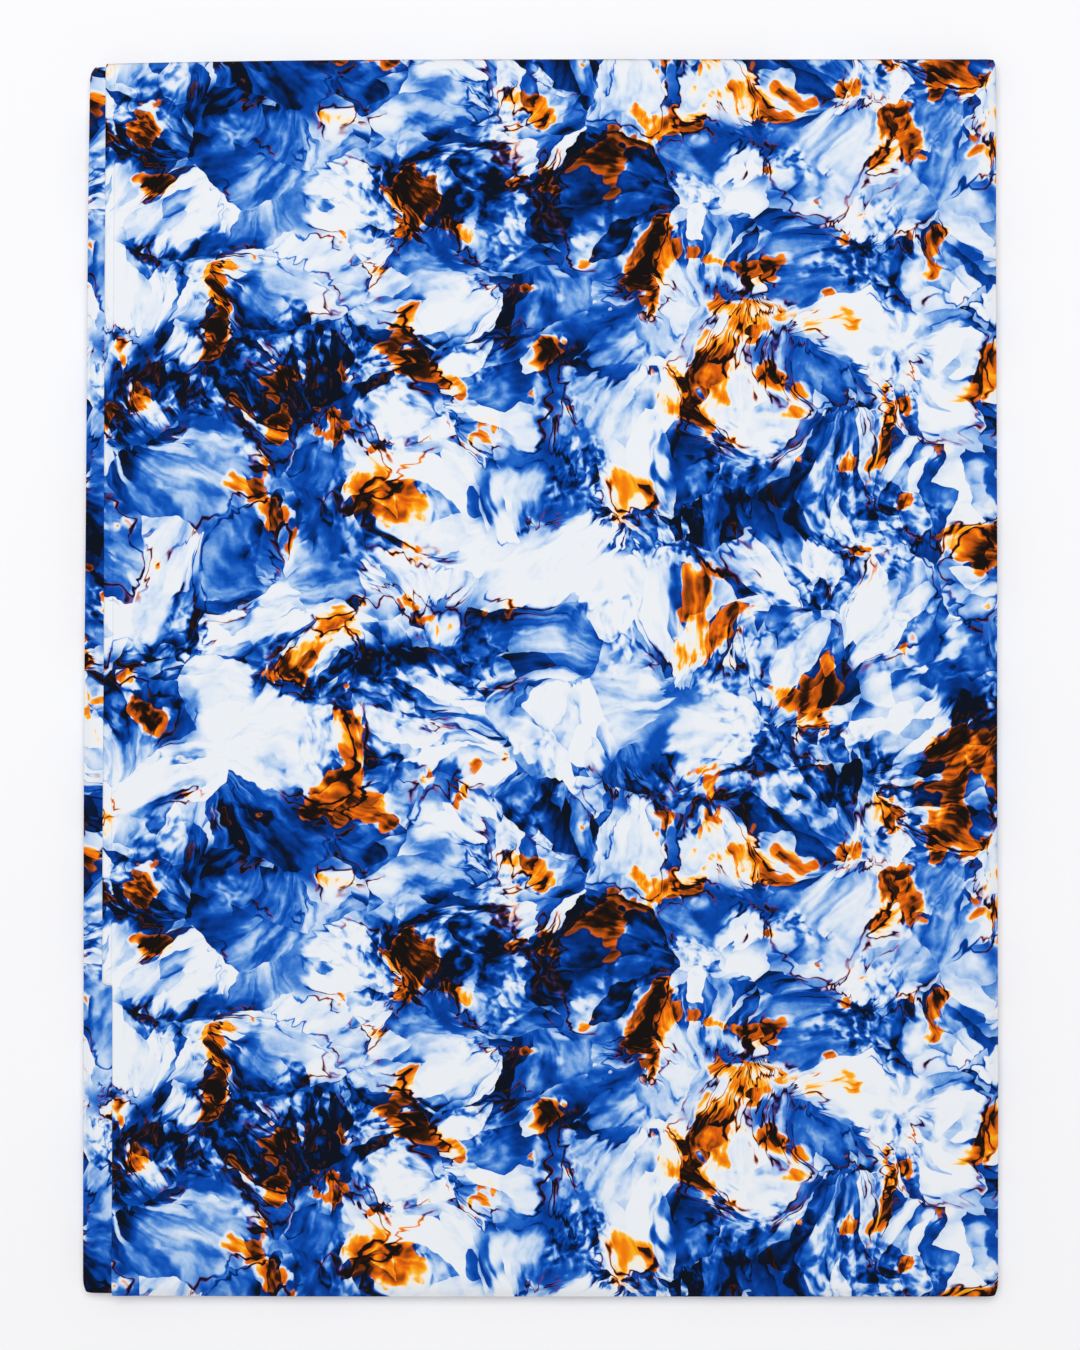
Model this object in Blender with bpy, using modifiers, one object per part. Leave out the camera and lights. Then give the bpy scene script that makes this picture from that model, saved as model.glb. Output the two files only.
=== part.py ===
# A folded length of wax-print cotton: one cut length, doubled along its middle and then laid
# back and forth in twelve layers, so the whole pile is one sheet.
# Metres, +Z up. Seen from above, +X is to the right and +Y is the far side of the pile.
# The origin is on the surface that the pile rests on, under the middle of the pile.

import math
from collections import namedtuple

import bmesh
import bpy

MM = 0.001

# The cloth before and after folding
CLOTH_WIDTH = 1.224                  # selvedge to selvedge
DOUBLED_WIDTH = CLOTH_WIDTH / 2      # the cloth is doubled once along its middle, at -Y
PILE_REACH = 0.4526                  # left folds to right folds, about half a yard

# The layers, each two plies of cloth that lie pressed together
LAYERS = 12
LAYER_THICKNESS = 0.8 * MM
LAYER_GAP = 0.3 * MM
LAYER_PITCH = LAYER_THICKNESS + LAYER_GAP

# The top layer's end is turned under along a short stretch at the near side
TUCK_DEPTH = 6.0 * MM
TUCK_START = -0.150                  # where along Y the edge begins to step in
TUCK_END = -0.154

# The pile is springy: it is thicker in the middle than at its pressed folds and edges, rounds
# down to them, and has low, broad swells
CROWN_RISE = 2.5 * MM
ROUNDED_OVER = 10.0 * MM
SWELL_RISE = 0.35 * MM
SWELLS_ACROSS = 1.6
SWELLS_ALONG = 1.3
SWELL_SHIFT_ACROSS = 0.6             # radians, so that no swell is centred
SWELL_SHIFT_ALONG = 0.9
EDGE_WAVE = 0.25 * MM                # a hand-laid edge wanders by this much
EDGE_WAVES = 2.3
EDGE_WAVE_STEP = 0.37                # of a wave, from one edge to the next

# How finely the sheet is divided: closely where it rounds down, evenly in between
EDGE_STEPS = (0.0, 2.5 * MM, 5.5 * MM, 10.0 * MM)
SPANS_ACROSS_MIDDLE = 2
SPANS_ALONG_MIDDLE = 6
SPANS_PER_FOLD = 6

# Every fold and both cut ends, from the top of the pile down: the side that it lies on, and
# how many mm it stays inside the pile's reach at the far side, the middle and the near side.
# The last two are straight, so that the pile stands on four corners.
Edge = namedtuple("Edge", "side far middle near")
EDGES = (
    Edge("left", 11.6, 10.6, 9.5),       # cut end of the top layer
    Edge("right", 1.3, 0.5, 0.0),
    Edge("left", 3.8, 0.8, 0.1),         # the fold that shows beside the top layer
    Edge("right", 1.6, 1.5, 1.0),
    Edge("left", 4.6, 2.3, 1.9),
    Edge("right", 0.9, 2.0, 1.8),
    Edge("left", 3.0, 3.1, 1.1),
    Edge("right", 2.4, 1.2, 0.8),
    Edge("left", 4.0, 2.0, 2.6),
    Edge("right", 1.4, 0.8, 1.9),
    Edge("left", 2.8, 2.9, 1.4),
    Edge("right", 1.7, 1.7, 1.7),
    Edge("left", 4.4, 4.4, 4.4),         # cut end of the bottom layer
)

# Every layer from the top down: how many mm its selvedges stay inside the pile's far reach,
# and its lengthwise fold inside the near reach.
Reach = namedtuple("Reach", "far near")
REACHES = (
    Reach(0.7, 2.2),
    Reach(0.2, 1.0),
    Reach(1.3, 0.2),
    Reach(0.8, 0.9),
    Reach(2.0, 0.4),
    Reach(1.1, 1.3),
    Reach(0.2, 0.7),
    Reach(1.7, 0.1),
    Reach(0.9, 1.1),
    Reach(1.4, 0.5),
    Reach(0.6, 1.5),
    Reach(1.2, 0.8),
)

PRINT_BLUE = (0.17, 0.29, 0.62, 1.0)
COTTON_ROUGHNESS = 0.85


def clear_scene():
    for existing in list(bpy.data.objects):
        bpy.data.objects.remove(existing, do_unlink=True)


def through_three(near, middle, far, along):
    # The smooth curve that has these values at 0, one half and 1
    start = near * (1 - along) * (1 - 2 * along)
    centre = middle * 4 * along * (1 - along)
    finish = far * along * (2 * along - 1)
    return start + centre + finish


def smooth_step(value):
    value = min(max(value, 0.0), 1.0)
    return value * value * (3 - 2 * value)


def edge_x(number, along):
    # The outermost X of a fold or cut end, at a place from the near (0) to the far side (1)
    edge = EDGES[number]
    inside = through_three(edge.near, edge.middle, edge.far, along) * MM
    if number < LAYERS - 1:
        wave = math.sin(2 * math.pi * (EDGE_WAVES * along + EDGE_WAVE_STEP * number))
        inside += EDGE_WAVE * (1 + wave) / 2
    if number == 0:
        y = (along - 0.5) * DOUBLED_WIDTH
        inside += TUCK_DEPTH * smooth_step((TUCK_START - y) / (TUCK_START - TUCK_END))
    reach = PILE_REACH / 2 - inside
    return reach if edge.side == "right" else -reach


def rounded(distance):
    # From 0 at the pile's edge to 1 where the crown is full, and level there
    left = 1 - min(distance / ROUNDED_OVER, 1.0)
    return 1 - left * left


def layer_height(layer, x, along):
    # The middle of a layer's thickness; the bottom layer lies flat
    from_bottom = LAYERS - 1 - layer
    share = from_bottom / (LAYERS - 1)
    y = place_y(layer, along)
    across = 2 * x / PILE_REACH
    lengthways = 2 * y / DOUBLED_WIDTH
    swell = math.sin(math.pi * SWELLS_ACROSS * across + SWELL_SHIFT_ACROSS)
    swell *= math.cos(math.pi * SWELLS_ALONG * lengthways + SWELL_SHIFT_ALONG)
    rise = CROWN_RISE + SWELL_RISE * (1 + swell) / 2
    rise *= rounded(PILE_REACH / 2 - abs(x)) * rounded(DOUBLED_WIDTH / 2 - abs(y))
    return LAYER_THICKNESS / 2 + from_bottom * LAYER_PITCH + share * rise


def layer_ends(layer, along):
    # The X where a layer's flat run meets the fold, or the cut end, at each of its sides
    ends = []
    for number in (layer, layer + 1):
        x = edge_x(number, along)
        is_cut_end = number in (0, LAYERS)
        inward = -1 if x > 0 else 1
        if not is_cut_end:
            x += inward * (LAYER_THICKNESS + LAYER_PITCH) / 2
        ends.append(x)
    return ends


def divided(length, spans):
    # Places along a length: close steps in from both its ends, and even spans between them
    inner = EDGE_STEPS[-1]
    places = list(EDGE_STEPS)
    places += [inner + (length - 2 * inner) * step / spans for step in range(1, spans)]
    places += [length - step for step in reversed(EDGE_STEPS)]
    return places


def section(along):
    # The folded sheet's middle line at one place along Y: X, Z and how many layers down
    line = []
    for layer in range(LAYERS):
        start, finish = layer_ends(layer, along)
        direction = 1 if finish > start else -1
        for place in divided(abs(finish - start), SPANS_ACROSS_MIDDLE):
            x = start + direction * place
            line.append((x, layer_height(layer, x, along), layer))
        if layer == LAYERS - 1:
            break
        line += fold(layer, finish, along)
    return line


def fold(layer, x, along):
    # The half turn from one layer down to the next, without its two ends
    upper = layer_height(layer, x, along)
    lower = layer_height(layer + 1, x, along)
    radius = (upper - lower) / 2
    outward = 1 if x > 0 else -1
    turn = []
    for step in range(1, SPANS_PER_FOLD):
        share = step / SPANS_PER_FOLD
        angle = math.pi * (0.5 - share)
        place_x = x + outward * radius * math.cos(angle)
        place_z = (upper + lower) / 2 + radius * math.sin(angle)
        turn.append((place_x, place_z, layer + share))
    return turn


def place_y(down, along):
    # A layer runs from its own near reach to its own far reach, and a fold joins the two
    layer = min(int(down), LAYERS - 2)
    share = down - layer
    far = REACHES[layer].far * (1 - share) + REACHES[layer + 1].far * share
    near = REACHES[layer].near * (1 - share) + REACHES[layer + 1].near * share
    lowest = -DOUBLED_WIDTH / 2 + near * MM
    highest = DOUBLED_WIDTH / 2 - far * MM
    return lowest + (highest - lowest) * along


def places_along():
    # Shares of the way from the near to the far side, with three where the top end steps in
    places = [place / DOUBLED_WIDTH for place in divided(DOUBLED_WIDTH, SPANS_ALONG_MIDDLE)]
    for y in (TUCK_START, (TUCK_START + TUCK_END) / 2, TUCK_END):
        places.append(y / DOUBLED_WIDTH + 0.5)
    return sorted(places)


def cotton_material():
    material = bpy.data.materials.new("wax_print_cotton")
    material.use_nodes = True
    shader = material.node_tree.nodes["Principled BSDF"]
    shader.inputs["Base Color"].default_value = PRINT_BLUE
    shader.inputs["Roughness"].default_value = COTTON_ROUGHNESS
    shader.inputs["Metallic"].default_value = 0.0
    return material


def make_folded_cloth(collection):
    # A flat grid is the cloth as cut; each of its points then goes to its folded place
    places = places_along()
    lines = [section(along) for along in places]
    columns = len(lines[0])
    rows = len(places)

    sheet = bmesh.new()
    bmesh.ops.create_grid(sheet, x_segments=columns - 1, y_segments=rows - 1, size=1.0)
    for point in sheet.verts:
        column = round((point.co.x + 1) / 2 * (columns - 1))
        row = round((point.co.y + 1) / 2 * (rows - 1))
        x, z, down = lines[row][column]
        point.co = (x, place_y(down, places[row]), z)

    mesh = bpy.data.meshes.new("folded_cloth")
    sheet.to_mesh(mesh)
    sheet.free()
    cloth = bpy.data.objects.new("folded_cloth", mesh)
    collection.objects.link(cloth)

    thickness = cloth.modifiers.new("cloth thickness", "SOLIDIFY")
    thickness.thickness = LAYER_THICKNESS
    thickness.offset = 0.0
    thickness.use_even_offset = True
    cloth.data.materials.append(cotton_material())
    cloth.data.shade_smooth()
    return cloth


def main():
    clear_scene()
    collection = bpy.data.collections.new("folded_wax_print")
    bpy.context.scene.collection.children.link(collection)
    make_folded_cloth(collection)


main()
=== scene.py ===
# Folded length of wax-printed cotton, seen from straight above on a pale surface.
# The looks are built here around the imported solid. All lengths are in metres, unless a name
# ends in Mm.

import math
from collections import namedtuple

import bpy
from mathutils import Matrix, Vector


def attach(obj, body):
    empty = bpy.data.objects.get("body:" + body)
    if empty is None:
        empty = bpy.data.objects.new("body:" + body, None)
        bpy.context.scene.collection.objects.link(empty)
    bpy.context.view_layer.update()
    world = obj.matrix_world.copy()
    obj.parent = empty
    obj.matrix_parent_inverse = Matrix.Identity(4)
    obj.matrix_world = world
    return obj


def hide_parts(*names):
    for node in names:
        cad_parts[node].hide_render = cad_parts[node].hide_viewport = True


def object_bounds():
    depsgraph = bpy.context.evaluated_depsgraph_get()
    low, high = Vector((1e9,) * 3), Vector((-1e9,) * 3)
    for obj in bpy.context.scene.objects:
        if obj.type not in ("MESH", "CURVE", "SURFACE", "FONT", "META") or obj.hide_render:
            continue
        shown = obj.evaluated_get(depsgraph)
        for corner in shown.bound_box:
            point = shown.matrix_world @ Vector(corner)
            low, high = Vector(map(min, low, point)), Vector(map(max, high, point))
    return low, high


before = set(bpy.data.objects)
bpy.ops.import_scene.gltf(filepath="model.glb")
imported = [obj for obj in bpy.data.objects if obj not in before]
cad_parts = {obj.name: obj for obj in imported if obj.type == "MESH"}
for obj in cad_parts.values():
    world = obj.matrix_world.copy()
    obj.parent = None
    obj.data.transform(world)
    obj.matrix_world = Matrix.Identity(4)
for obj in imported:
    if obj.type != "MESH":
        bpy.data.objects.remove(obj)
solidLow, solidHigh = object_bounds()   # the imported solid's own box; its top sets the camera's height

mm = 0.001

# The pile. The solid's driving sizes are the same, but for its plainer edges and corners.
pile = {
    "clothWidth": 1.224,            # selvedge to selvedge, before it is doubled
    "reach": 0.4526,                # left folds to right folds
    "layers": 12,                   # each is two plies that lie together
    "layerThickness": 0.8 * mm,     # of the solid's layers
    "layerPitch": 1.04 * mm,        # at the pressed edges
    "crownRise": 3.16 * mm,         # with the pitch, as high in the middle as the solid
    "roundedOver": 10.0 * mm,       # half of the rise, and the other half is steeper
    "steepOver": 6.0 * mm,
    "swellRise": 0.35 * mm,         # low, broad swells
    "swellsAcross": 1.6,
    "swellsAlong": 1.3,
    "swellShiftAcross": 0.6,        # radians, so that no swell is centred
    "swellShiftAlong": 0.9,
    "edgeWave": 0.25 * mm,          # a hand-laid edge wanders by this much
    "edgeWaves": 2.3,
    "edgeWaveStep": 0.37,           # of a wave, from one edge to the next
    "cornerInset": 1.2 * mm,        # the folds' corners are rounded by this much, both ways
    "cornerOver": 5.0 * mm,
    "leftDrop": 2.4 * mm,           # the far edge comes in by this much toward its left end,
    "leftRise": 0.6 * mm,           # and the near edge by this much
    "leftOver": 190.0 * mm,
    "leftBelow": 1.8,               # times as much in the layers below the top one

    # The two plies of each layer, and the low waves of the top one
    "plyThickness": 0.30 * mm,
    "halfGap": 0.23 * mm,           # from a layer's middle to the middle of each of its plies
    "backInMm": 0.5,                # a back ply's selvedge lies further in than the facing one's
    "backInVariesMm": 0.4,
    "backInStep": 2.1,              # radians, from one layer to the next
    "backInOver": 12.0 * mm,        # from a fold, where the two lie together
    "rippleHeight": 0.20 * mm,
    "slowRipples": ((31, 9, 1.1), (-12, 17, 0.4)),    # radians a metre across and along, and start
    "quickRipples": ((74, -41, 2.0), (22, 63, 1.3)),
    "quickShare": 0.7,              # of the slow ones' height

    # The top layer's end: a pressed ledge, and turned under at the near side
    "tuckDepth": 6.0 * mm,
    "tuckStart": -0.1503,           # where along Y the turn begins, and where it is whole
    "tuckEnd": -0.1537,
    "tuckRadius": 0.56 * mm,        # of the turned-under end's own fold
    "tuckFlatTo": 1.0 * mm,         # a strip on its way under stays pressed this flat
    "liftAhead": 4.0 * mm,          # the cloth on top begins to lift this far before the turn
    "liftOver": 10.0 * mm,
    "liftLevel": 4.0 * mm,          # it stays lifted this far from the crease, and then comes down
    "liftFades": 12.0 * mm,
    "ledgeDrop": 0.5 * mm,          # past the crease, the flattened end lies this much lower
    "ledgeWidth": 0.8 * mm,
    "ledgeShift": -1.1 * mm,

    # Where the cloth is divided: mm past the crease, before it, and in from every other edge
    "stripStepsMm": (6.0, 4.9, 3.7, 2.7, 2.0, 1.87, 1.74, 1.61, 1.48, 1.35, 1.22, 1.09, 0.7, 0.35),
    "creaseStepsMm": (0.0, 0.3, 0.7, 1.2),
    "edgeStepsMm": (0.0, 1.3, 3.0, 5.6, 10.0),
    "topSpans": 84,
    "hiddenSpans": 5,
    "foldSpans": 8,
    "facingRows": 92,
    "tuckSpans": 8,
    "backSpans": 14,
    "hairpinRows": 6,
    "bunch": 0.85,                  # of the top layer's spans and the facing rows, toward the edges
    "slopeReach": 0.5 * mm,         # a slope is measured over this much to each side
    "leastTurn": 0.001,             # radians, below which the end counts as flat
}

FoldRow = namedtuple("FoldRow", "side far middle near")
LayerRow = namedtuple("LayerRow", "far near")

# Both cut ends and every fold from the top down: mm inside the pile's reach, at three places
foldRows = (
    FoldRow("left", 11.6, 10.6, 9.5),    # cut end of the top layer
    FoldRow("right", 1.3, 0.5, 0.0),
    FoldRow("left", 3.8, 0.8, 0.1),      # the fold that shows beside the top layer
    FoldRow("right", 1.6, 1.5, 1.0),
    FoldRow("left", 4.6, 2.3, 1.9),
    FoldRow("right", 0.9, 2.0, 1.8),
    FoldRow("left", 3.0, 3.1, 1.1),
    FoldRow("right", 2.4, 1.2, 0.8),
    FoldRow("left", 4.0, 2.0, 2.6),
    FoldRow("right", 1.4, 0.8, 1.9),
    FoldRow("left", 2.8, 2.9, 1.4),
    FoldRow("right", 1.7, 1.7, 1.7),
    FoldRow("left", 4.4, 4.4, 4.4),      # cut end of the bottom layer
)

# Every layer from the top down: mm inside the far and the near reach
layerRows = (
    LayerRow(0.7, 0.2),
    LayerRow(0.2, 0.8),
    LayerRow(1.3, 1.2),
    LayerRow(0.8, 0.9),
    LayerRow(2.0, 0.4),
    LayerRow(1.1, 1.3),
    LayerRow(0.2, 0.7),
    LayerRow(1.7, 0.1),
    LayerRow(0.9, 1.1),
    LayerRow(1.4, 0.5),
    LayerRow(0.6, 1.5),
    LayerRow(1.2, 0.8),
)

doubledWidth = pile["clothWidth"] / 2


def smoothStep(value):
    value = min(max(value, 0.0), 1.0)
    return value * value * (3 - 2 * value)


def throughThree(near, middle, far, along):
    # The smooth curve that has these values at 0, one half and 1
    start = near * (1 - along) * (1 - 2 * along)
    centre = middle * 4 * along * (1 - along)
    finish = far * along * (2 * along - 1)
    return start + centre + finish


def foldX(number, along):
    # Where a fold or cut end reaches, from the near (0) to the far side (1)
    row = foldRows[number]
    inside = throughThree(row.near, row.middle, row.far, along) * mm
    if number < pile["layers"] - 1:
        wave = math.sin(2 * math.pi * (pile["edgeWaves"] * along + pile["edgeWaveStep"] * number))
        inside += pile["edgeWave"] * (1 + wave) / 2
    if number not in (0, pile["layers"]):
        inside += cornerInset(doubledWidth / 2 - abs((along - 0.5) * doubledWidth))
    reach = pile["reach"] / 2 - inside
    return reach if row.side == "right" else -reach


def parabola(distance, over):
    # From 1 at an edge down to 0, and level there
    left = 1 - min(max(distance / over, 0.0), 1.0)
    return left * left


def cornerInset(distance):
    # How much further in a folded edge is, at a distance from the corner
    return pile["cornerInset"] * parabola(distance, pile["cornerOver"])


def leftShare(down, x):
    # How much of the left drop and rise there is in a layer, at a place across the pile
    below = 1 + (pile["leftBelow"] - 1) * min(down, 1.0)
    return below * parabola(pile["reach"] / 2 + x, pile["leftOver"])


def rounded(distance):
    # From 0 at the pile's edge to 1 where the crown is full
    broad = parabola(distance, pile["roundedOver"])
    steep = parabola(distance, pile["steepOver"])
    return 1 - (broad + steep) / 2


def crossedWaves(waves, x, y):
    # The height of waves laid across each other, each with its own direction and start
    height = 1.0
    for across, along, start in waves:
        height *= math.sin(across * x + along * y + start)
    return height


def ripple(x, y):
    # Low waves left by handling, never below zero
    slow = crossedWaves(pile["slowRipples"], x, y)
    quick = crossedWaves(pile["quickRipples"], x, y)
    share = pile["quickShare"]
    return (2 + slow + share * quick) / (3 + share)


def layerHeight(layer, x, along):
    # The middle of a layer's two plies; the bottom layer lies flat
    fromBottom = pile["layers"] - 1 - layer
    share = fromBottom / (pile["layers"] - 1)
    y = placeY(layer, along, x)
    across = pile["swellsAcross"] * 2 * x / pile["reach"]
    lengthways = pile["swellsAlong"] * 2 * y / doubledWidth
    swell = math.sin(math.pi * across + pile["swellShiftAcross"])
    swell *= math.cos(math.pi * lengthways + pile["swellShiftAlong"])
    rise = pile["crownRise"] + pile["swellRise"] * (1 + swell) / 2
    left = leftShare(layer, x)
    fromFar = doubledWidth / 2 - y - pile["leftDrop"] * left
    fromNear = doubledWidth / 2 + y - pile["leftRise"] * left
    rise *= rounded(pile["reach"] / 2 - abs(x)) * rounded(min(fromFar, fromNear))
    height = pile["layerThickness"] / 2 + fromBottom * pile["layerPitch"] + share * rise
    if layer == 0:
        height += pile["rippleHeight"] * ripple(x, y)
        height += tuckLift(x, along)
    return height


def tuckTurn(along):
    # 0 where the top layer's end lies flat, 1 where it is turned under
    y = (along - 0.5) * doubledWidth
    start, end = pile["tuckStart"], pile["tuckEnd"]
    return smoothStep((start - y) / (start - end))


def tuckLift(x, along):
    # The turned-under end lifts the edge of the layer that lies on it
    y = (along - 0.5) * doubledWidth
    reached = smoothStep((pile["tuckStart"] + pile["liftAhead"] - y) / pile["liftOver"])
    pastLevel = x - creaseX(along) - pile["liftLevel"]
    lift = 2 * pile["tuckRadius"] * (1 - smoothStep(pastLevel / pile["liftFades"]))
    return reached * lift


def creaseX(along):
    return foldX(0, along) + pile["tuckDepth"]


def spread(start, finish, spans, bunch=0.0):
    # Places from start to finish, closer together at both ends as bunch nears 1
    places = []
    for step in range(spans + 1):
        share = step / spans
        eased = 0.5 - 0.5 * math.cos(math.pi * share)
        places.append(start + (finish - start) * (share + (eased - share) * bunch))
    return places


def divided(start, finish, spans):
    # Places from start to finish: close steps in from both, and even spans between them
    way = 1 if finish > start else -1
    length = abs(finish - start)
    steps = [step * mm for step in pile["edgeStepsMm"]]
    inner = (length - 2 * steps[-1]) / spans
    distances = steps + [steps[-1] + inner * number for number in range(1, spans)]
    distances += [length - step for step in reversed(steps)]
    return [start + way * distance for distance in distances]


def stripPoints(along):
    # The narrow end past the crease, from the cut edge to the crease: flat, or turned under
    turn = math.pi * tuckTurn(along)
    bendLength = math.pi * pile["tuckRadius"]
    crease = creaseX(along)
    base = layerHeight(0, crease, along)
    points = []
    for beyond in [step * mm for step in pile["stripStepsMm"]]:
        bent = min(beyond, bendLength)
        angle = turn * bent / bendLength
        if turn < pile["leastTurn"]:
            x, z = -beyond, 0.0
        else:
            radius = bendLength / turn
            x = -radius * math.sin(angle) - (beyond - bent) * math.cos(turn)
            z = -radius * (1 - math.cos(angle)) - (beyond - bent) * math.sin(turn)
            z = -pile["tuckFlatTo"] * math.tanh(-z / pile["tuckFlatTo"])
        z -= creaseDip(crease - beyond, along)
        tangent = Vector((math.cos(angle), 0, math.sin(angle)))
        points.append((crease + x, base + z, 0.0, tangent))
    return points


def sectionLine(along):
    # The folded sheet's middle line at one place along Y: X, Z, how many layers down, direction
    line = stripPoints(along)
    layers = pile["layers"]
    for layer in range(layers):
        ends = []
        for number in (layer, layer + 1):
            x = foldX(number, along)
            if number not in (0, layers):
                x -= math.copysign((pile["layerThickness"] + pile["layerPitch"]) / 2, x)
            ends.append(x)
        if layer == 0:
            ends[0] = creaseX(along)
        forward = 1 if ends[1] > ends[0] else -1
        if layer == 0:
            nearCrease = [ends[0] + step * mm for step in pile["creaseStepsMm"]]
            beyond = spread(nearCrease[-1], ends[1], pile["topSpans"], pile["bunch"])
            places = nearCrease[:-1] + beyond
        else:
            places = divided(ends[0], ends[1], pile["hiddenSpans"])
        reach = pile["slopeReach"]
        for x in places:
            rise = layerHeight(layer, x + reach, along) - layerHeight(layer, x - reach, along)
            tangent = Vector((forward, 0, forward * rise / (2 * reach))).normalized()
            z = layerHeight(layer, x, along)
            if layer == 0:
                z -= creaseDip(x, along)
            line.append((x, z, layer, tangent))
        if layer < layers - 1:
            line += foldTurn(layer, ends[1], along)
    return line


def creaseDip(x, along):
    # Where the end lies flat, its old crease is a low ledge down to the strip past it
    past = pile["ledgeShift"] - (x - creaseX(along))
    return pile["ledgeDrop"] * smoothStep(past / pile["ledgeWidth"]) * (1 - tuckTurn(along))


def foldTurn(layer, x, along):
    # The half turn from one layer down to the next, without its two ends
    upper = layerHeight(layer, x, along)
    lower = layerHeight(layer + 1, x, along)
    radius = (upper - lower) / 2
    outward = 1 if x > 0 else -1
    turn = []
    for step in range(1, pile["foldSpans"]):
        share = step / pile["foldSpans"]
        angle = math.pi * (0.5 - share)
        placeX = x + outward * radius * math.cos(angle)
        placeZ = (upper + lower) / 2 + radius * math.sin(angle)
        tangent = Vector((outward * math.sin(angle), 0, -math.cos(angle)))
        turn.append((placeX, placeZ, layer + share, tangent))
    return turn


def placeY(down, along, x, further=0.0):
    # Y in a layer, from its lengthwise fold at the near side (0) to its selvedge (1), which may
    # lie some mm further in; a fold joins each layer to the next
    layer = min(int(down), pile["layers"] - 2)
    share = down - layer
    far = layerRows[layer].far * (1 - share) + layerRows[layer + 1].far * share + further
    near = layerRows[layer].near * (1 - share) + layerRows[layer + 1].near * share
    inset = cornerInset(pile["reach"] / 2 - abs(x))
    left = leftShare(down, x)
    lowest = -doubledWidth / 2 + near * mm + pile["halfGap"] + pile["plyThickness"] / 2 + inset
    lowest += pile["leftRise"] * left
    highest = doubledWidth / 2 - far * mm - inset - pile["leftDrop"] * left
    return lowest + (highest - lowest) * along


def backInset(down, x):
    # How many mm further in a back ply's selvedge lies than its facing ply's
    inset = pile["backInMm"] + pile["backInVariesMm"] * math.sin(pile["backInStep"] * down)
    fromFold = pile["reach"] / 2 - abs(x)
    return inset * smoothStep(fromFold / pile["backInOver"])


def widthRows():
    # The rows across the cloth's width: the facing ply from its selvedge, the lengthwise fold,
    # and the back ply to its selvedge. Each is its share along Y, how far it has turned, and
    # its place across the cloth.
    rows = []
    tuckShares = [y / doubledWidth + 0.5
                  for y in spread(pile["tuckStart"], pile["tuckEnd"], pile["tuckSpans"])]
    facingShares = spread(1.0, 0.0, pile["facingRows"] - len(tuckShares), pile["bunch"])
    for along in sorted(facingShares + tuckShares, reverse=True):
        rows.append((along, 0.0, (1 - along) * doubledWidth))
    for step in range(1, pile["hairpinRows"]):
        rows.append((0.0, step / pile["hairpinRows"], doubledWidth))
    backShares = [y / doubledWidth for y in divided(0.0, doubledWidth, pile["backSpans"])]
    for along in sorted(backShares + tuckShares):
        rows.append((along, 1.0, (1 + along) * doubledWidth))
    return rows


def lengthsAlong(line):
    # How far along the cloth each place of a section is
    total = 0.0
    lengths = [0.0]
    for before, after in zip(line, line[1:]):
        total += math.hypot(after[0] - before[0], after[1] - before[1])
        lengths.append(total)
    return lengths


def hexColour(code):
    # sRGB hex to the linear colour that a shader takes
    parts = [int(code[i:i + 2], 16) / 255 for i in (1, 3, 5)]
    linear = [c / 12.92 if c <= 0.04045 else ((c + 0.055) / 1.055) ** 2.4 for c in parts]
    return (*linear, 1.0)


def addNode(tree, kind, inputs=None, output=0, stops=None, **settings):
    # Adds a node with its settings and links, and gives back one of its outputs
    node = tree.nodes.new(kind)
    for name, value in settings.items():
        setattr(node, name, value)
    for name, value in (inputs or {}).items():
        if isinstance(value, bpy.types.NodeSocket):
            tree.links.new(value, node.inputs[name])
        else:
            node.inputs[name].default_value = value
    if stops:
        elements = node.color_ramp.elements
        while len(elements) < len(stops):
            elements.new(0.5)
        for element, (place, colour) in zip(elements, stops):
            element.position = place
            element.color = hexColour(colour) if isinstance(colour, str) else (colour,) * 3 + (1.0,)
    return node.outputs[output]


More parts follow.
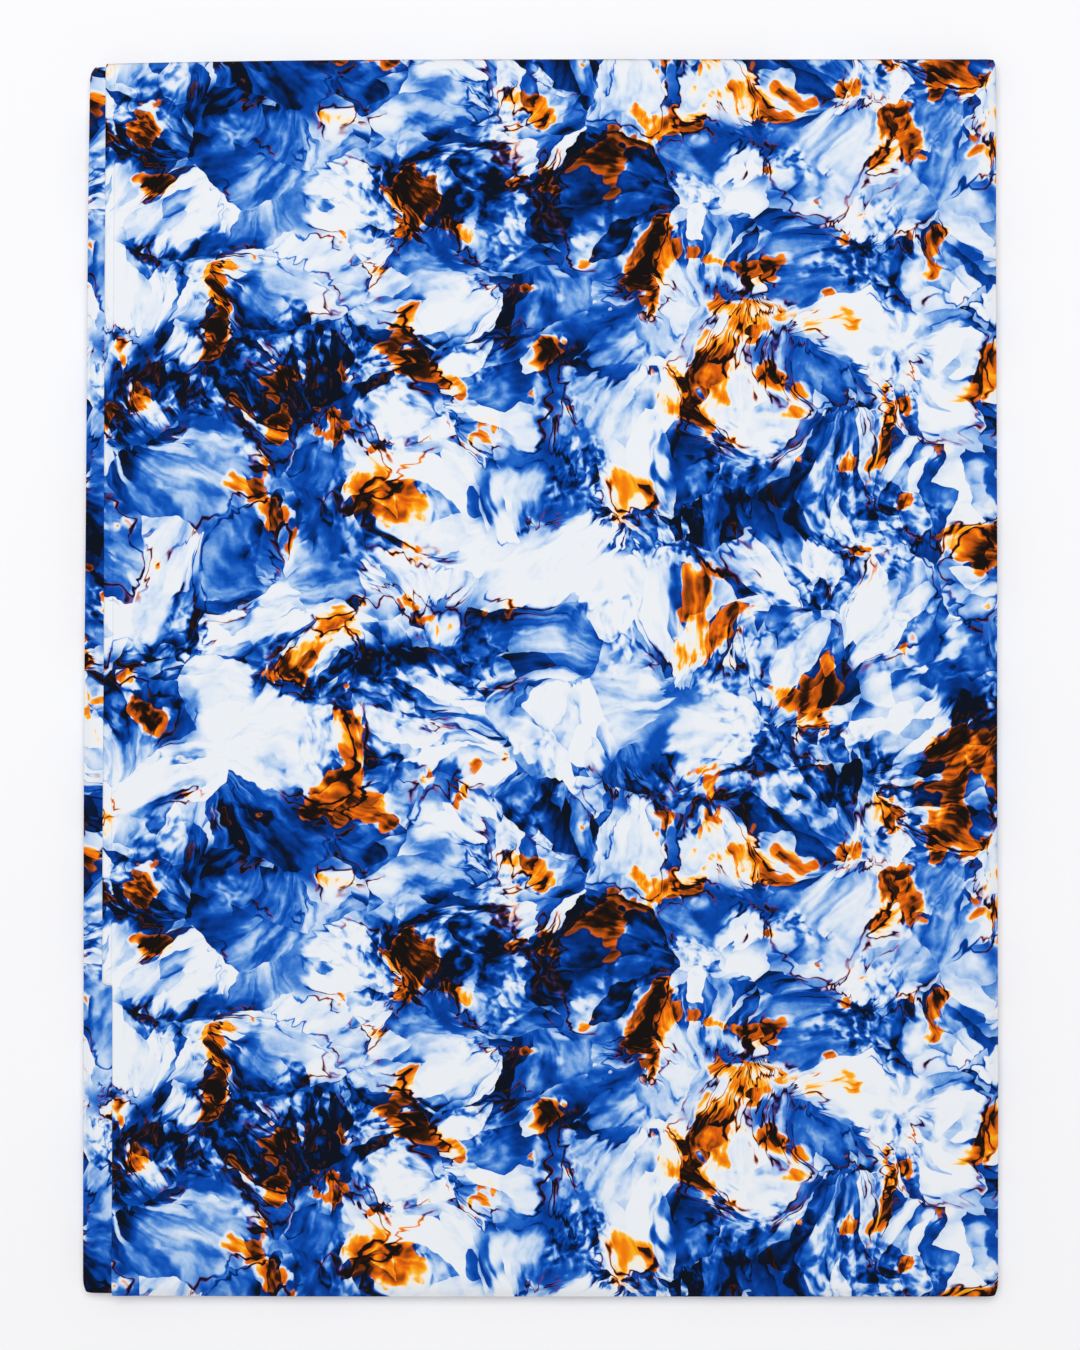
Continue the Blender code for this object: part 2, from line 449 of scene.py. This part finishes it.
# The print: torn white shapes with blue streaks on cobalt, dark pools and orange bleeds.
# It is a design of its own, with the real print's colours, scale and repeat. Its sizes are mm on
# the flat cloth, and its dye runs from 0, bare white, to 1, black.
printLook = {
    "repeatMm": 377,                # across the cloth's width
    "pullRoughness": 0.55,          # how much of its finer detail a noise shows, for pulled shapes
    "softRoughness": 0.58,          # and for soft patches
    "bend": {"sizeMm": 95, "amountMm": 26, "detail": 1.0},    # how far the shapes are pulled about
    "fray": {"sizeMm": 15, "amountMm": 5, "detail": 2.5},
    "shapeMm": 47,                  # from one torn shape to the next
    "shapeDye": ((0.0, 0.10), (0.44, 0.18), (0.54, 0.34), (0.78, 0.47), (0.86, 0.62), (1.0, 0.70)),
    "footAway": 1.1,                # shapes, back from one's middle to the foot of its veins' fan
    "seeds": 60,                    # so that no two shapes have the same veins
    "slopeMm": 28,                  # from a shape's middle to where it is darkest
    "slopeDye": 0.16,
    "veinLengthMm": 24,
    "veinsRound": 7.0,              # in one radian of the fan
    "veinNoise": {"Detail": 2.2, "Roughness": 0.55, "Distortion": 0.3},
    "veinsFrom": 0.25,              # of the veins' own range, from their palest to their darkest
    "veinsTo": 0.75,
    "veinDye": 0.26,
    "jagMm": 8,                     # how deep the torn edges are
    "jagFrom": 0.40,                # of the veins' own range
    "jagTo": 0.74,
    "gather": {"sizeMm": 48, "detail": 2.0, "low": 0.42, "high": 0.66,
               "toLow": 0.8, "toHigh": 12.0},
    "rimZone": {"sizeMm": 52, "detail": 1.0, "low": 0.40, "high": 0.54},
    "rimDye": 0.62,
    "rimBlend": 0.12,
    "bladeMm": 21,                  # the long blades that some shapes are torn into
    "bladesRound": 5.5,
    "bladeZone": {"sizeMm": 66, "detail": 3.0, "low": 0.46, "high": 0.50},
    "bladeDye": 0.34,
    "bladeRim": {1: 0.1, 2: 0.7, 3: -0.10, 4: 0.14},          # a lighter middle, darker outside
    "smear": {"sizeMm": 9, "amountMm": 3.0, "detail": 1.0},
    "specks": {"sizeMm": 5.5, "detail": 1.5, "low": 0.36, "high": 0.64,
               "toLow": -0.26, "toHigh": 0.26},
    "speckZone": {"sizeMm": 58, "detail": 3.0, "low": 0.52, "high": 0.58},
    "lineCoreMm": 0.2,              # to each side of a torn edge
    "lineFadesMm": 1.1,
    "lineZone": {"sizeMm": 32, "detail": 2.0, "low": 0.46, "high": 0.53},
    "lineDye": 0.36,
    "pools": {"sizeMm": 80, "detail": 4.0, "low": 0.57, "high": 0.72,
              "toLow": 0.0, "toHigh": 0.38},
    "bare": {"sizeMm": 90, "detail": 2.0, "low": 0.36, "high": 0.60,
             "toLow": -0.21, "toHigh": 0.09},
    "mottle": {"sizeMm": 4, "detail": 2.0, "low": 0.3, "high": 0.7,
               "toLow": -0.035, "toHigh": 0.035},
    "warmMm": 33,                   # the patches where the dye turns orange
    "warmNoise": {"Detail": 3.0, "Roughness": 0.5},
    "warmFrom": 0.594,              # of the patches' own range
    "warmWhole": 0.601,
    "warmDeep": 0.68,
    "warmRise": 0.34,
    "warmDye": {1: 0.1, 2: 0.8, 3: 0.0, 4: 0.55},             # from the dye in the blue print
    "fibreMm": 16,
    "fibresRound": 26,
    "fibreDetail": 1.0,
    "fibresFrom": 0.3,
    "fibresTo": 0.7,
    "fibreDye": 0.11,
    "warmLineFrom": 0.50,           # lines turn brown further out than the patches reach
    "warmLineWhole": 0.53,
    "warmLineDye": 0.4,
    "haloFrom": 0.560,              # a pale halo round each patch, where it isn't too dark
    "haloMost": 0.75,
    "haloDark": {1: 0.52, 2: 0.66, 3: 0.0, 4: 0.9},
    "blues": (
        (0.04, "#EBEEF2"),          # white
        (0.19, "#D9E4F2"),          # ice
        (0.33, "#A9C6EB"),          # pale blue
        (0.44, "#5E95DA"),          # mid blue
        (0.53, "#2669C8"),          # bright blue
        (0.62, "#084DB2"),          # cobalt
        (0.72, "#043C96"),          # deep blue
        (0.82, "#032B70"),          # dark blue
        (0.90, "#031D4A"),          # navy
        (0.99, "#0A111F"),          # near black
    ),
    "oranges": (
        (0.03, "#EBEEF2"),          # white
        (0.13, "#F9EBD0"),          # cream
        (0.21, "#FBB824"),          # amber
        (0.32, "#F6860C"),          # orange
        (0.44, "#E2620E"),          # red orange
        (0.54, "#A94C10"),          # rust
        (0.67, "#3A1A08"),          # dark brown
        (0.82, "#14100F"),          # warm black
    ),
}


def addPrint(tree):
    # The colour of the print at every point of the cloth, from its place on the flat cloth
    look = printLook
    flat = addNode(tree, "ShaderNodeUVMap", uv_map="flatCloth")
    flatMm = addNode(tree, "ShaderNodeVectorMath", {0: flat, "Scale": 1 / mm}, operation="SCALE")
    lengthMm = addNode(tree, "ShaderNodeSeparateXYZ", {0: flatMm})
    widthMm = lengthMm.node.outputs[1]

    # The width runs round a cylinder, so the print meets itself after each repeat
    radius = look["repeatMm"] / (2 * math.pi)
    turn = addNode(tree, "ShaderNodeMath", {0: widthMm, 1: 1 / radius}, operation="MULTIPLY")
    cosine = addNode(tree, "ShaderNodeMath", {0: turn}, operation="COSINE")
    sine = addNode(tree, "ShaderNodeMath", {0: turn}, operation="SINE")
    roundY = addNode(tree, "ShaderNodeMath", {0: cosine, 1: radius}, operation="MULTIPLY")
    roundZ = addNode(tree, "ShaderNodeMath", {0: sine, 1: radius}, operation="MULTIPLY")
    around = addNode(tree, "ShaderNodeCombineXYZ", {0: lengthMm, 1: roundY, 2: roundZ})

    def pulled(vector, sizeMm, amountMm, detail):
        # Shifts places by soft noise of one size
        noise = addNode(tree, "ShaderNodeTexNoise", {"Vector": vector, "Scale": 1 / sizeMm,
                        "Detail": detail, "Roughness": look["pullRoughness"]}, output=1)
        centred = addNode(tree, "ShaderNodeVectorMath", {0: noise, 1: (0.5, 0.5, 0.5)},
                          operation="SUBTRACT")
        scaled = addNode(tree, "ShaderNodeVectorMath", {0: centred, "Scale": 2 * amountMm},
                         operation="SCALE")
        return addNode(tree, "ShaderNodeVectorMath", {0: vector, 1: scaled}, operation="ADD")

    def soft(vector, sizeMm, detail, low, high, toLow=0.0, toHigh=1.0):
        # Noise of one size, stretched from its own range to another
        noise = addNode(tree, "ShaderNodeTexNoise", {"Vector": vector, "Scale": 1 / sizeMm,
                        "Detail": detail, "Roughness": look["softRoughness"]})
        return addNode(tree, "ShaderNodeMapRange", {0: noise, 1: low, 2: high, 3: toLow,
                       4: toHigh})

    def cells(vector, sizeMm):
        # Cells of one size: three random numbers, a feature point, and the way to the rim in mm
        cell = addNode(tree, "ShaderNodeTexVoronoi", {"Vector": vector, "Scale": 1 / sizeMm})
        random = addNode(tree, "ShaderNodeSeparateColor", {0: cell.node.outputs["Color"]})
        rim = addNode(tree, "ShaderNodeTexVoronoi", {"Vector": vector, "Scale": 1 / sizeMm},
                      feature="DISTANCE_TO_EDGE")
        rimMm = addNode(tree, "ShaderNodeMath", {0: rim, 1: sizeMm}, operation="MULTIPLY")
        return random.node.outputs, cell.node.outputs["Position"], rimMm

    bent = pulled(around, **look["bend"])
    frayed = pulled(bent, **look["fray"])

    # Torn shapes: each has its own direction, tone and kind
    (direction, tone, kind), feature, edgeMm = cells(frayed, look["shapeMm"])

    # The place within a shape, turned to its own direction
    here = addNode(tree, "ShaderNodeSeparateXYZ", {0: frayed})
    centre = addNode(tree, "ShaderNodeSeparateXYZ", {0: feature})
    offX = addNode(tree, "ShaderNodeMath", {0: here, 1: centre}, operation="SUBTRACT")
    hereTurn = addNode(tree, "ShaderNodeMath", {0: here.node.outputs[2], 1: here.node.outputs[1]},
                       operation="ARCTAN2")
    centreTurn = addNode(tree, "ShaderNodeMath", {0: centre.node.outputs[2],
                         1: centre.node.outputs[1]}, operation="ARCTAN2")
    offTurn = addNode(tree, "ShaderNodeMath", {0: hereTurn, 1: centreTurn}, operation="SUBTRACT")
    nearTurn = addNode(tree, "ShaderNodeMath", {0: offTurn, 1: math.pi, 2: -math.pi},
                       operation="WRAP")
    offY = addNode(tree, "ShaderNodeMath", {0: nearTurn, 1: radius}, operation="MULTIPLY")
    off = addNode(tree, "ShaderNodeCombineXYZ", {0: offX, 1: offY})
    angle = addNode(tree, "ShaderNodeMath", {0: direction, 1: 2 * math.pi}, operation="MULTIPLY")
    turned = addNode(tree, "ShaderNodeVectorRotate", {"Vector": off, "Angle": angle},
                     rotation_type="Z_AXIS")
    lengthways = addNode(tree, "ShaderNodeSeparateXYZ", {0: turned})
    sideways = lengthways.node.outputs[1]

    # Veins fan out from a foot behind each shape
    fromFoot = addNode(tree, "ShaderNodeMath", {0: lengthways,
                       1: look["shapeMm"] * look["footAway"]}, operation="ADD")
    fan = addNode(tree, "ShaderNodeMath", {0: sideways, 1: fromFoot}, operation="ARCTAN2")
    seed = addNode(tree, "ShaderNodeMath", {0: tone, 1: look["seeds"]}, operation="MULTIPLY")

    def fanned(lengthMm, partsRound):
        # A place along and across the fan, in steps of one length and one angle
        footway = addNode(tree, "ShaderNodeMath", {0: fromFoot, 1: 1 / lengthMm},
                          operation="MULTIPLY")
        fanway = addNode(tree, "ShaderNodeMath", {0: fan, 1: partsRound}, operation="MULTIPLY")
        return addNode(tree, "ShaderNodeCombineXYZ", {0: footway, 1: fanway, 2: seed})

    veins = addNode(tree, "ShaderNodeTexNoise", {
        "Vector": fanned(look["veinLengthMm"], look["veinsRound"]), "Scale": 1.0,
        **look["veinNoise"]})

    # How much dye: each shape starts with a tone of its own, and slopes and veins add to it
    slope = addNode(tree, "ShaderNodeMapRange", {0: sideways, 1: -look["slopeMm"],
                    2: look["slopeMm"], 3: -look["slopeDye"], 4: look["slopeDye"]})
    veinDye = addNode(tree, "ShaderNodeMapRange", {0: veins, 1: look["veinsFrom"],
                      2: look["veinsTo"], 3: -look["veinDye"], 4: look["veinDye"]}, clamp=False)
    shapeDye = addNode(tree, "ShaderNodeValToRGB", {0: kind}, stops=look["shapeDye"])
    dye = addNode(tree, "ShaderNodeMath", {0: shapeDye, 1: slope}, operation="ADD")
    dye = addNode(tree, "ShaderNodeMath", {0: dye, 1: veinDye}, operation="ADD")

    # Torn rims: the veins cut into each shape, and the dye gathers there, thin or broad
    jag = addNode(tree, "ShaderNodeMapRange", {0: veins, 1: look["jagFrom"], 2: look["jagTo"],
                  3: 0.0, 4: look["jagMm"]})
    inside = addNode(tree, "ShaderNodeMath", {0: edgeMm, 1: jag}, operation="SUBTRACT")
    gather = soft(bent, **look["gather"])
    rim = addNode(tree, "ShaderNodeMath", {0: inside, 1: gather}, operation="DIVIDE")
    rimDye = addNode(tree, "ShaderNodeMapRange", {0: rim, 1: 0.0, 2: 1.0, 3: look["rimDye"],
                     4: 0.0}, interpolation_type="SMOOTHSTEP")
    rimZone = soft(bent, **look["rimZone"])
    rimDye = addNode(tree, "ShaderNodeMath", {0: rimDye, 1: rimZone}, operation="MULTIPLY")
    dye = addNode(tree, "ShaderNodeMath", {0: dye, 1: rimDye, 2: look["rimBlend"]},
                  operation="SMOOTH_MAX")

    # In some places they are torn into long blades, each darker toward its edges
    blade = addNode(tree, "ShaderNodeTexVoronoi", {
        "Vector": fanned(look["bladeMm"], look["bladesRound"]), "Scale": 1.0})
    bladeTone = addNode(tree, "ShaderNodeSeparateColor", {0: blade.node.outputs["Color"]})
    bladeDye = addNode(tree, "ShaderNodeMapRange", {0: bladeTone, 3: -look["bladeDye"],
                       4: look["bladeDye"]})
    bladeRim = addNode(tree, "ShaderNodeMapRange", {0: blade, **look["bladeRim"]})
    bladeDye = addNode(tree, "ShaderNodeMath", {0: bladeDye, 1: bladeRim}, operation="ADD")
    bladeZone = soft(bent, **look["bladeZone"])
    bladeDye = addNode(tree, "ShaderNodeMath", {0: bladeDye, 1: bladeZone}, operation="MULTIPLY")

    # Specks and short smears in other places
    smeared = pulled(frayed, **look["smear"])
    speckDye = soft(smeared, **look["specks"])
    speckZone = soft(frayed, **look["speckZone"])
    speckDye = addNode(tree, "ShaderNodeMath", {0: speckDye, 1: speckZone}, operation="MULTIPLY")

    # A thin line follows some of the torn edges
    fromEdge = addNode(tree, "ShaderNodeMath", {0: inside}, operation="ABSOLUTE")
    onLine = addNode(tree, "ShaderNodeMapRange", {0: fromEdge, 1: look["lineCoreMm"],
                     2: look["lineFadesMm"], 3: 1.0, 4: 0.0})
    lineZone = soft(around, **look["lineZone"])
    onLine = addNode(tree, "ShaderNodeMath", {0: onLine, 1: lineZone}, operation="MULTIPLY")
    lineDye = addNode(tree, "ShaderNodeMath", {0: onLine, 1: look["lineDye"]}, operation="MULTIPLY")

    # Dark pools, bare places and a fine mottle
    pools = soft(frayed, **look["pools"])
    bare = soft(bent, **look["bare"])
    mottle = soft(around, **look["mottle"])
    for part in (bladeDye, speckDye, lineDye, pools, bare, mottle):
        dye = addNode(tree, "ShaderNodeMath", {0: dye, 1: part}, operation="ADD")

    # Orange patches: pale at the rim, deeper inside, brown and fibrous where there is much
    # dye, and near them the thin lines are brown too
    warm = addNode(tree, "ShaderNodeTexNoise", {"Vector": frayed, "Scale": 1 / look["warmMm"],
                   **look["warmNoise"]})
    warmRise = addNode(tree, "ShaderNodeMapRange", {0: warm, 1: look["warmFrom"],
                       2: look["warmDeep"], 3: 0.0, 4: look["warmRise"]})
    warmDye = addNode(tree, "ShaderNodeMapRange", {0: dye, **look["warmDye"]})
    fibres = addNode(tree, "ShaderNodeTexNoise", {
        "Vector": fanned(look["fibreMm"], look["fibresRound"]), "Scale": 1.0,
        "Detail": look["fibreDetail"]})
    fibreDye = addNode(tree, "ShaderNodeMapRange", {0: fibres, 1: look["fibresFrom"],
                       2: look["fibresTo"], 3: -look["fibreDye"], 4: look["fibreDye"]})
    nearPatch = addNode(tree, "ShaderNodeMapRange", {0: warm, 1: look["warmLineFrom"],
                        2: look["warmLineWhole"]})
    warmLine = addNode(tree, "ShaderNodeMath", {0: onLine, 1: nearPatch}, operation="MULTIPLY")
    warmLineDye = addNode(tree, "ShaderNodeMath", {0: warmLine, 1: look["warmLineDye"]},
                          operation="MULTIPLY")
    for part in (warmRise, fibreDye, warmLineDye):
        warmDye = addNode(tree, "ShaderNodeMath", {0: warmDye, 1: part}, operation="ADD")
    isWarm = addNode(tree, "ShaderNodeMapRange", {0: warm, 1: look["warmFrom"],
                     2: look["warmWhole"]})
    isWarm = addNode(tree, "ShaderNodeMath", {0: isWarm, 1: warmLine}, operation="MAXIMUM")
    isHalo = addNode(tree, "ShaderNodeMapRange", {0: warm, 1: look["haloFrom"],
                     2: look["warmFrom"], 3: 0.0, 4: look["haloMost"]})
    isDark = addNode(tree, "ShaderNodeMapRange", {0: dye, **look["haloDark"]})
    dye = addNode(tree, "ShaderNodeMix", {0: isHalo, 2: dye, 3: isDark})

    blues = addNode(tree, "ShaderNodeValToRGB", {0: dye}, stops=look["blues"])
    oranges = addNode(tree, "ShaderNodeValToRGB", {0: warmDye}, stops=look["oranges"])
    return addNode(tree, "ShaderNodeMix", {0: isWarm, 6: blues, 7: oranges}, output=2,
                   data_type="RGBA")


clothFinish = {
    "roughness": 0.9,
    "ior": 1.5,
    "specular": 0.05,
    "sheen": 0.02,                  # of its loose fibres
    "sheenRoughness": 0.5,
    "threadMm": 1.1,                # real threads are 0.3 mm apart; drawn coarser so that they show
    "threadHeightMm": 0.02,
}


def addWeave(tree):
    # A plain weave's normals: threads that pass over and under each other, both ways
    flat = addNode(tree, "ShaderNodeUVMap", uv_map="flatCloth")
    turnsPerMetre = 2 * math.pi / (clothFinish["threadMm"] * mm)
    threads = addNode(tree, "ShaderNodeVectorMath", {0: flat, "Scale": turnsPerMetre},
                      operation="SCALE")
    waves = addNode(tree, "ShaderNodeVectorMath", {0: threads}, operation="SINE")
    along = addNode(tree, "ShaderNodeSeparateXYZ", {0: waves})
    height = addNode(tree, "ShaderNodeMath", {0: along, 1: along.node.outputs[1]},
                     operation="MULTIPLY")
    return addNode(tree, "ShaderNodeBump", {"Height": height, "Strength": 1.0,
                   "Distance": clothFinish["threadHeightMm"] * mm})


def waxPrintedCotton():
    # Wax-printed cotton: a close plain weave, dyed right through. To the eye it is matt, with a
    # faint bloom at grazing angles from its loose fibres, and as deep in colour on both faces.
    material = bpy.data.materials.new("waxPrintedCotton")
    material.use_nodes = True
    tree = material.node_tree
    shader = tree.nodes["Principled BSDF"]
    tree.links.new(addPrint(tree), shader.inputs["Base Color"])
    tree.links.new(addWeave(tree), shader.inputs["Normal"])
    shader.inputs["Roughness"].default_value = clothFinish["roughness"]
    shader.inputs["IOR"].default_value = clothFinish["ior"]
    shader.inputs["Specular IOR Level"].default_value = clothFinish["specular"]
    shader.inputs["Sheen Weight"].default_value = clothFinish["sheen"]
    shader.inputs["Sheen Roughness"].default_value = clothFinish["sheenRoughness"]
    return material


def foldedCloth():
    # One sheet, two plies to a layer, folded back and forth, as one mesh of its middle surface
    rows = widthRows()
    lines = {}
    for along, turned, width in rows:
        if along not in lines:
            lines[along] = sectionLine(along)
    middleRow = rows[pile["facingRows"] // 2]
    lengths = lengthsAlong(lines[middleRow[0]])
    points = []
    flatPlaces = []
    half = pile["halfGap"]
    for along, turned, width in rows:
        facing = turned < 0.5
        for (x, z, down, tangent), length in zip(lines[along], lengths):
            upward = Vector((-tangent.z, 0, tangent.x))
            further = 0.0 if facing else backInset(down, x)
            place = Vector((x, placeY(down, along, x, further), z))
            place += upward * half * math.cos(math.pi * turned)
            place.y -= half * math.sin(math.pi * turned)
            points.append(place)
            flatPlaces.append((length, width))
    across = len(lengths)
    faces = []
    for row in range(len(rows) - 1):
        for column in range(across - 1):
            corner = row * across + column
            faces.append((corner, corner + across, corner + across + 1, corner + 1))

    mesh = bpy.data.meshes.new("foldedCloth")
    mesh.from_pydata(points, [], faces)
    layer = mesh.uv_layers.new(name="flatCloth")
    for loop in mesh.loops:
        layer.data[loop.index].uv = flatPlaces[loop.vertex_index]
    cloth = bpy.data.objects.new("foldedCloth", mesh)
    bpy.context.scene.collection.objects.link(cloth)
    mesh.shade_smooth()
    thickness = cloth.modifiers.new("plyThickness", "SOLIDIFY")
    thickness.thickness = pile["plyThickness"]
    thickness.offset = 0.0
    mesh.materials.append(waxPrintedCotton())
    print("folded cloth:", len(points), "points,", round(lengths[-1], 3), "m long")
    return cloth, lengths[-1]


cloth, clothLength = foldedCloth()
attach(cloth, "root")
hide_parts("folded_cloth")

studio = {
    "floorColour": "#F9F9FA",
    "floorRoughness": 0.9,
    "floorSpecular": 0.1,
    "floorSize": 6.0,
    "metresPerPixel": 0.4931 * mm,  # in the photograph's 1080 by 1350 frame
    "frameHeightPx": 1350,
    "centreRightPx": -0.4,          # the frame's centre from the pile's centre
    "centreUpPx": 2.7,
    "lensMm": 85,
    "sensorMm": 36,
    "worldColour": "#FCFCFE",
    "worldStrength": 0.36,
    "keyPlace": (-0.09, 0.50, 3.0),  # nearly overhead, so the shadows stay narrow
    "keySize": 1.9,
    "keyWatts": 67.5,
}


def paleFloor():
    # A sheet of matt card, pressed smooth: to the eye it is even and pale, with no shine
    bpy.ops.mesh.primitive_plane_add(size=studio["floorSize"], location=(0, 0, 0))
    floor = bpy.context.object
    floor.name = "paleFloor"
    material = bpy.data.materials.new("mattCard")
    material.use_nodes = True
    tree = material.node_tree
    shader = tree.nodes["Principled BSDF"]
    shader.inputs["Base Color"].default_value = hexColour(studio["floorColour"])
    shader.inputs["Roughness"].default_value = studio["floorRoughness"]
    shader.inputs["Specular IOR Level"].default_value = studio["floorSpecular"]
    floor.data.materials.append(material)
    return floor


def softLight(name, place, size, power):
    # A round light that faces the pile
    data = bpy.data.lights.new(name, "AREA")
    data.shape = "DISK"
    data.size = size
    data.energy = power
    light = bpy.data.objects.new(name, data)
    light.location = place
    light.rotation_euler = (-Vector(place)).to_track_quat("-Z", "Y").to_euler()
    bpy.context.scene.collection.objects.link(light)
    return light


def lightAndCamera():
    world = bpy.data.worlds.new("paleStudio")
    world.use_nodes = True
    background = world.node_tree.nodes["Background"]
    background.inputs["Color"].default_value = hexColour(studio["worldColour"])
    background.inputs["Strength"].default_value = studio["worldStrength"]
    bpy.context.scene.world = world
    bpy.context.scene.view_settings.view_transform = "Standard"
    softLight("keyLight", studio["keyPlace"], studio["keySize"], studio["keyWatts"])

    data = bpy.data.cameras.new("above")
    data.lens = studio["lensMm"]
    data.sensor_width = studio["sensorMm"]
    camera = bpy.data.objects.new("above", data)
    frameHeight = studio["frameHeightPx"] * studio["metresPerPixel"]
    distance = frameHeight * studio["lensMm"] / studio["sensorMm"]
    camera.location = (
        studio["centreRightPx"] * studio["metresPerPixel"],
        studio["centreUpPx"] * studio["metresPerPixel"],
        solidHigh.z + distance,
    )
    bpy.context.scene.collection.objects.link(camera)
    bpy.context.scene.camera = camera


floor = paleFloor()
print("floor:", studio["floorSize"], "m square")
lightAndCamera()
print("light and camera:", studio["keyWatts"], "W,", studio["lensMm"], "mm lens")
